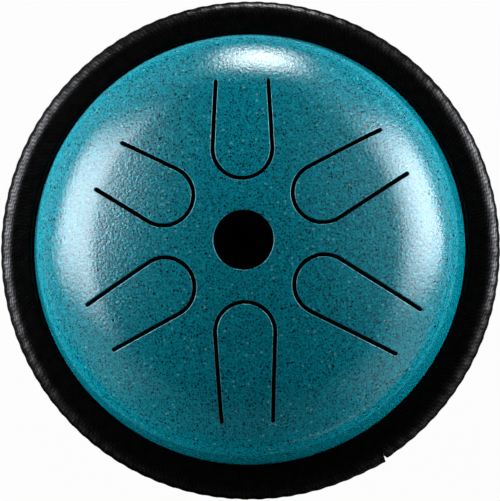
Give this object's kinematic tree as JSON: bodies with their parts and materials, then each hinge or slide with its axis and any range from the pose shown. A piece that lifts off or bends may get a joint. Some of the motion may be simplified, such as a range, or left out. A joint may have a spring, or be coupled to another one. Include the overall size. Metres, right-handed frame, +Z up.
{
  "type": "steel tongue drum",
  "caption": "Small round steel drum with tongues cut into its domed top round a sound hole, a closed lower bowl, a rubber strip on the rim and rubber feet; struck by hand or mallet.",
  "frame": {"origin": "on the floor under the middle of the drum, at the bottom of the feet", "axes": "+Z up through the sound hole; +Y along the tongue of the fifth note, which lies at the top of the picture"},
  "size_m": [0.152, 0.152, 0.0721],
  "materials": {
    "powder_coat": "speckled powder coat on pressed steel",
    "rim_rubber": "black rubber embossed with a weave",
    "foot_rubber": "plain black moulded rubber",
    "zinc_steel": "bright zinc plate",
    "sealant": "cured grey sealant"
  },
  "bodies": {
    "drum": {"top_shell": "powder_coat", "bottom_shell": "powder_coat", "flange_bond": "sealant", "rim_trim": "rim_rubber", "foot_1": "foot_rubber", "foot_2": "foot_rubber", "foot_3": "foot_rubber", "foot_screws": "zinc_steel", "foot_washers": "zinc_steel", "foot_nuts": "zinc_steel"},
    "tongue_1": {"tongue_1": "powder_coat"},
    "tongue_2": {"tongue_2": "powder_coat"},
    "tongue_3": {"tongue_3": "powder_coat"},
    "tongue_4": {"tongue_4": "powder_coat"},
    "tongue_5": {"tongue_5": "powder_coat"},
    "tongue_6": {"tongue_6": "powder_coat"}
  },
  "joints": [
    {"name": "tongue_1_flex", "type": "hinge", "parent": "drum", "child": "tongue_1", "pos_m": [0.04729, -0.0273, 0.06488], "axis": [0.5, 0.866, 0], "range_deg": [-0.5, 0.5], "stiffness_Nm_per_rad": 23.4},
    {"name": "tongue_2_flex", "type": "hinge", "parent": "drum", "child": "tongue_2", "pos_m": [0, -0.0528, 0.06569], "axis": [1, 0, 0], "range_deg": [-0.5, 0.5], "stiffness_Nm_per_rad": 24.6},
    {"name": "tongue_3_flex", "type": "hinge", "parent": "drum", "child": "tongue_3", "pos_m": [0.04417, 0.0255, 0.06639], "axis": [-0.5, 0.866, 0], "range_deg": [-0.5, 0.5], "stiffness_Nm_per_rad": 26},
    {"name": "tongue_4_flex", "type": "hinge", "parent": "drum", "child": "tongue_4", "pos_m": [-0.04261, -0.0246, 0.06699], "axis": [0.5, -0.866, 0], "range_deg": [-0.5, 0.5], "stiffness_Nm_per_rad": 27.5},
    {"name": "tongue_5_flex", "type": "hinge", "parent": "drum", "child": "tongue_5", "pos_m": [0, 0.0474, 0.0675], "axis": [-1, 0, 0], "range_deg": [-0.5, 0.5], "stiffness_Nm_per_rad": 29.2},
    {"name": "tongue_6_flex", "type": "hinge", "parent": "drum", "child": "tongue_6", "pos_m": [-0.03949, 0.0228, 0.06792], "axis": [-0.5, -0.866, 0], "range_deg": [-0.5, 0.5], "stiffness_Nm_per_rad": 31.2}
  ]
}
